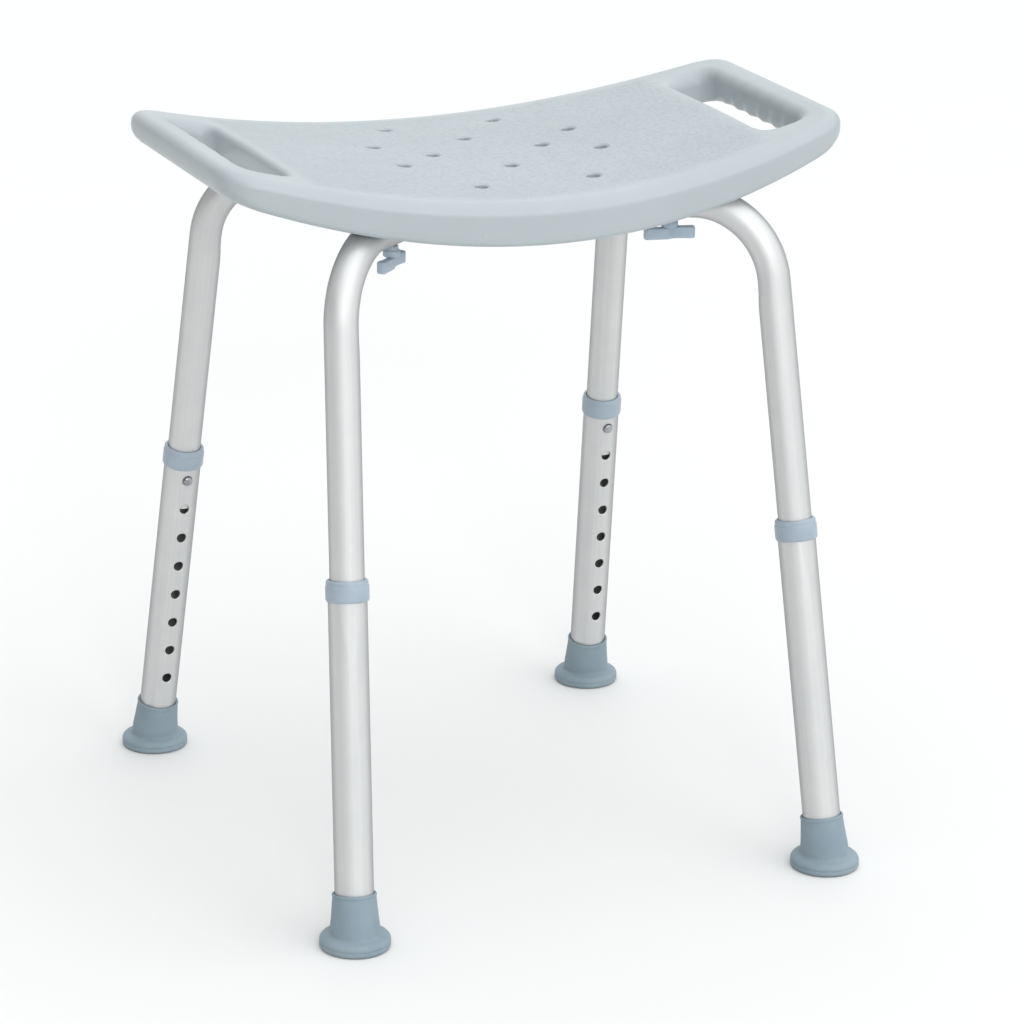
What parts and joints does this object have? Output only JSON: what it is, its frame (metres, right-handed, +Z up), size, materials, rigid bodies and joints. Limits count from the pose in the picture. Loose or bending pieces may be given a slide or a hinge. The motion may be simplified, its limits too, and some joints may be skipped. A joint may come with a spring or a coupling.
{
  "type": "shower stool",
  "caption": "Backless bath and shower stool: saddle-shaped hollow plastic seat with end handles and drain holes on crossed aluminium tubes with height-adjustable legs and rubber feet.",
  "frame": {"origin": "on the floor, under the middle of the seat (the middle of the bounding box's bottom face)", "axes": "+X along the seat's long side to the sitter's left, -Y towards the front, +Z up"},
  "size_m": [0.498, 0.4796, 0.5555],
  "materials": {
    "seat_plastic": "fine pebbled top, smooth sides, pale blue-grey polyethylene",
    "collar_plastic": "smooth moulded, pale blue",
    "knob_plastic": "smooth moulded, pale blue",
    "foot_rubber": "matt grey-blue rubber",
    "tube_aluminium": "satin anodised",
    "button_steel": "bright plated",
    "plain_steel": "zinc plated",
    "insert_brass": "knurled, as turned"
  },
  "bodies": {
    "chassis": {"seat": "seat_plastic", "frame_tube_upper": "tube_aluminium", "frame_tube_lower": "tube_aluminium", "cross_rivet": "plain_steel", "seat_insert_front_left": "insert_brass", "seat_insert_front_right": "insert_brass", "seat_insert_rear_left": "insert_brass", "seat_insert_rear_right": "insert_brass", "button_spring_front_left": "plain_steel", "button_spring_front_right": "plain_steel", "button_spring_rear_left": "plain_steel", "button_spring_rear_right": "plain_steel"},
    "knob_front_left": {"wing_knob_front_left": "knob_plastic", "knob_stud_front_left": "plain_steel"},
    "leg_front_left": {"extension_tube_front_left": "tube_aluminium", "collar_front_left": "collar_plastic", "foot_washer_front_left": "plain_steel", "rubber_foot_front_left": "foot_rubber"},
    "button_front_left": {"snap_button_front_left": "button_steel"},
    "knob_front_right": {"wing_knob_front_right": "knob_plastic", "knob_stud_front_right": "plain_steel"},
    "leg_front_right": {"extension_tube_front_right": "tube_aluminium", "collar_front_right": "collar_plastic", "foot_washer_front_right": "plain_steel", "rubber_foot_front_right": "foot_rubber"},
    "button_front_right": {"snap_button_front_right": "button_steel"},
    "knob_rear_left": {"wing_knob_rear_left": "knob_plastic", "knob_stud_rear_left": "plain_steel"},
    "leg_rear_left": {"extension_tube_rear_left": "tube_aluminium", "collar_rear_left": "collar_plastic", "foot_washer_rear_left": "plain_steel", "rubber_foot_rear_left": "foot_rubber"},
    "button_rear_left": {"snap_button_rear_left": "button_steel"},
    "knob_rear_right": {"wing_knob_rear_right": "knob_plastic", "knob_stud_rear_right": "plain_steel"},
    "leg_rear_right": {"extension_tube_rear_right": "tube_aluminium", "collar_rear_right": "collar_plastic", "foot_washer_rear_right": "plain_steel", "rubber_foot_rear_right": "foot_rubber"},
    "button_rear_right": {"snap_button_rear_right": "button_steel"}
  },
  "joints": [
    {"name": "leg_slide_front_left", "type": "slide", "parent": "chassis", "child": "leg_front_left", "axis": [0.0452, 0.1741, 0.9837], "range_m": [0, 0.1778], "deforming": ["button_spring_front_left", "snap_button_front_left"]},
    {"name": "leg_slide_front_right", "type": "slide", "parent": "chassis", "child": "leg_front_right", "axis": [-0.0452, 0.1741, 0.9837], "range_m": [0, 0.1778], "deforming": ["button_spring_front_right", "snap_button_front_right"]},
    {"name": "leg_slide_rear_left", "type": "slide", "parent": "chassis", "child": "leg_rear_left", "axis": [0.0452, -0.1741, 0.9837], "range_m": [0, 0.1778], "deforming": ["button_spring_rear_left", "snap_button_rear_left"]},
    {"name": "leg_slide_rear_right", "type": "slide", "parent": "chassis", "child": "leg_rear_right", "axis": [-0.0452, -0.1741, 0.9837], "range_m": [0, 0.1778], "deforming": ["button_spring_rear_right", "snap_button_rear_right"]},
    {"name": "button_press_front_left", "type": "slide", "parent": "chassis", "child": "button_front_left", "axis": [0.004, -0.9847, 0.1741], "range_m": [0, 0.004], "stiffness_N_per_m": 2000, "deforming": ["button_spring_front_left"]},
    {"name": "button_press_front_right", "type": "slide", "parent": "chassis", "child": "button_front_right", "axis": [-0.004, -0.9847, 0.1741], "range_m": [0, 0.004], "stiffness_N_per_m": 2000, "deforming": ["button_spring_front_right"]},
    {"name": "button_press_rear_left", "type": "slide", "parent": "chassis", "child": "button_rear_left", "axis": [0.004, 0.9847, 0.1741], "range_m": [0, 0.004], "stiffness_N_per_m": 2000, "deforming": ["button_spring_rear_left"]},
    {"name": "button_press_rear_right", "type": "slide", "parent": "chassis", "child": "button_rear_right", "axis": [-0.004, 0.9847, 0.1741], "range_m": [0, 0.004], "stiffness_N_per_m": 2000, "deforming": ["button_spring_rear_right"]},
    {"name": "knob_turn_front_left", "type": "hinge", "parent": "chassis", "child": "knob_front_left", "pos_m": [-0.11212, -0.08383, 0.4717], "axis": [0, 0, 1], "continuous": true},
    {"name": "knob_turn_front_right", "type": "hinge", "parent": "chassis", "child": "knob_front_right", "pos_m": [0.11212, -0.08383, 0.4717], "axis": [0, 0, 1], "continuous": true},
    {"name": "knob_turn_rear_left", "type": "hinge", "parent": "chassis", "child": "knob_rear_left", "pos_m": [-0.11212, 0.08383, 0.4717], "axis": [0, 0, 1], "continuous": true},
    {"name": "knob_turn_rear_right", "type": "hinge", "parent": "chassis", "child": "knob_rear_right", "pos_m": [0.11212, 0.08383, 0.4717], "axis": [0, 0, 1], "continuous": true}
  ]
}
